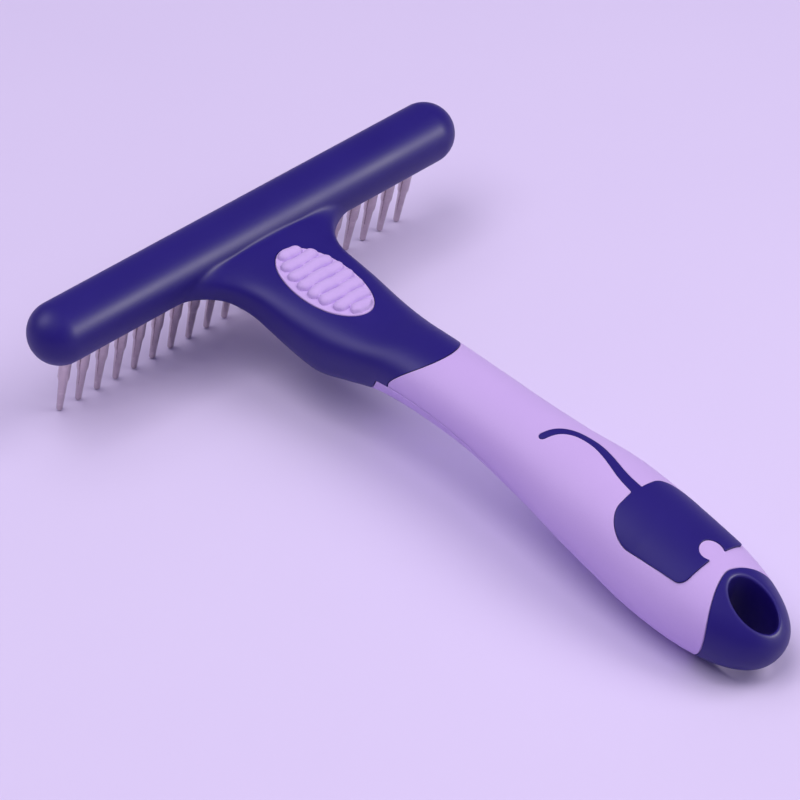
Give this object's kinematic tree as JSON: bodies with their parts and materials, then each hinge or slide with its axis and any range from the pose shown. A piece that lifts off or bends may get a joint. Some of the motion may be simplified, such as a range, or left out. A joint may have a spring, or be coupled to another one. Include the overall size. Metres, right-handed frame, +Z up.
{
  "type": "undercoat rake",
  "caption": "Pet grooming rake with a round cross bar of stepped metal pins that turn, a necked soft-grip handle with a ribbed thumb pad, and an oval hanging hole.",
  "frame": {"origin": "centre of the footprint, on the surface that the rake rests on with its pin tips and the underside of its butt", "axes": "+Z up, +Y from the hanging hole towards the bar, X along the bar"},
  "size_m": [0.114, 0.1594, 0.0323],
  "materials": {
    "bar_navy": "satin moulded",
    "plate_navy": "satin moulded",
    "strip_navy": "satin moulded",
    "inlay_navy": "satin moulded",
    "cap_navy": "satin moulded",
    "pad_lavender": "matt ribbed",
    "grip_lavender": "matt soft touch",
    "pin_steel": "polished"
  },
  "bodies": {
    "rake": {"head_frame": "bar_navy", "pin_plate": "plate_navy", "pin_strip": "strip_navy", "grip_inlay": "inlay_navy", "end_cap": "cap_navy", "thumb_pad": "pad_lavender", "upper_grip": "grip_lavender", "lower_grip": "grip_lavender"},
    "pin_01_body": {"pin_01": "pin_steel"},
    "pin_02_body": {"pin_02": "pin_steel"},
    "pin_03_body": {"pin_03": "pin_steel"},
    "pin_04_body": {"pin_04": "pin_steel"},
    "pin_05_body": {"pin_05": "pin_steel"},
    "pin_06_body": {"pin_06": "pin_steel"},
    "pin_07_body": {"pin_07": "pin_steel"},
    "pin_08_body": {"pin_08": "pin_steel"},
    "pin_09_body": {"pin_09": "pin_steel"},
    "pin_10_body": {"pin_10": "pin_steel"},
    "pin_11_body": {"pin_11": "pin_steel"},
    "pin_12_body": {"pin_12": "pin_steel"},
    "pin_13_body": {"pin_13": "pin_steel"},
    "pin_14_body": {"pin_14": "pin_steel"},
    "pin_15_body": {"pin_15": "pin_steel"},
    "pin_16_body": {"pin_16": "pin_steel"},
    "pin_17_body": {"pin_17": "pin_steel"},
    "pin_18_body": {"pin_18": "pin_steel"},
    "pin_19_body": {"pin_19": "pin_steel"},
    "pin_20_body": {"pin_20": "pin_steel"}
  },
  "joints": [
    {"name": "pin_01_spin", "type": "hinge", "parent": "rake", "child": "pin_01_body", "pos_m": [-0.0475, 0.07267, 0.02552], "axis": [0, -0.2483, 0.9687], "continuous": true},
    {"name": "pin_02_spin", "type": "hinge", "parent": "rake", "child": "pin_02_body", "pos_m": [-0.0425, 0.07267, 0.02552], "axis": [0, -0.2483, 0.9687], "continuous": true},
    {"name": "pin_03_spin", "type": "hinge", "parent": "rake", "child": "pin_03_body", "pos_m": [-0.0375, 0.07267, 0.02552], "axis": [0, -0.2483, 0.9687], "continuous": true},
    {"name": "pin_04_spin", "type": "hinge", "parent": "rake", "child": "pin_04_body", "pos_m": [-0.0325, 0.07267, 0.02552], "axis": [0, -0.2483, 0.9687], "continuous": true},
    {"name": "pin_05_spin", "type": "hinge", "parent": "rake", "child": "pin_05_body", "pos_m": [-0.0275, 0.07267, 0.02552], "axis": [0, -0.2483, 0.9687], "continuous": true},
    {"name": "pin_06_spin", "type": "hinge", "parent": "rake", "child": "pin_06_body", "pos_m": [-0.0225, 0.07267, 0.02552], "axis": [0, -0.2483, 0.9687], "continuous": true},
    {"name": "pin_07_spin", "type": "hinge", "parent": "rake", "child": "pin_07_body", "pos_m": [-0.0175, 0.07267, 0.02552], "axis": [0, -0.2483, 0.9687], "continuous": true},
    {"name": "pin_08_spin", "type": "hinge", "parent": "rake", "child": "pin_08_body", "pos_m": [-0.0125, 0.07267, 0.02552], "axis": [0, -0.2483, 0.9687], "continuous": true},
    {"name": "pin_09_spin", "type": "hinge", "parent": "rake", "child": "pin_09_body", "pos_m": [-0.0075, 0.07267, 0.02552], "axis": [0, -0.2483, 0.9687], "continuous": true},
    {"name": "pin_10_spin", "type": "hinge", "parent": "rake", "child": "pin_10_body", "pos_m": [-0.0025, 0.07267, 0.02552], "axis": [0, -0.2483, 0.9687], "continuous": true},
    {"name": "pin_11_spin", "type": "hinge", "parent": "rake", "child": "pin_11_body", "pos_m": [0.0025, 0.07267, 0.02552], "axis": [0, -0.2483, 0.9687], "continuous": true},
    {"name": "pin_12_spin", "type": "hinge", "parent": "rake", "child": "pin_12_body", "pos_m": [0.0075, 0.07267, 0.02552], "axis": [0, -0.2483, 0.9687], "continuous": true},
    {"name": "pin_13_spin", "type": "hinge", "parent": "rake", "child": "pin_13_body", "pos_m": [0.0125, 0.07267, 0.02552], "axis": [0, -0.2483, 0.9687], "continuous": true},
    {"name": "pin_14_spin", "type": "hinge", "parent": "rake", "child": "pin_14_body", "pos_m": [0.0175, 0.07267, 0.02552], "axis": [0, -0.2483, 0.9687], "continuous": true},
    {"name": "pin_15_spin", "type": "hinge", "parent": "rake", "child": "pin_15_body", "pos_m": [0.0225, 0.07267, 0.02552], "axis": [0, -0.2483, 0.9687], "continuous": true},
    {"name": "pin_16_spin", "type": "hinge", "parent": "rake", "child": "pin_16_body", "pos_m": [0.0275, 0.07267, 0.02552], "axis": [0, -0.2483, 0.9687], "continuous": true},
    {"name": "pin_17_spin", "type": "hinge", "parent": "rake", "child": "pin_17_body", "pos_m": [0.0325, 0.07267, 0.02552], "axis": [0, -0.2483, 0.9687], "continuous": true},
    {"name": "pin_18_spin", "type": "hinge", "parent": "rake", "child": "pin_18_body", "pos_m": [0.0375, 0.07267, 0.02552], "axis": [0, -0.2483, 0.9687], "continuous": true},
    {"name": "pin_19_spin", "type": "hinge", "parent": "rake", "child": "pin_19_body", "pos_m": [0.0425, 0.07267, 0.02552], "axis": [0, -0.2483, 0.9687], "continuous": true},
    {"name": "pin_20_spin", "type": "hinge", "parent": "rake", "child": "pin_20_body", "pos_m": [0.0475, 0.07267, 0.02552], "axis": [0, -0.2483, 0.9687], "continuous": true}
  ]
}
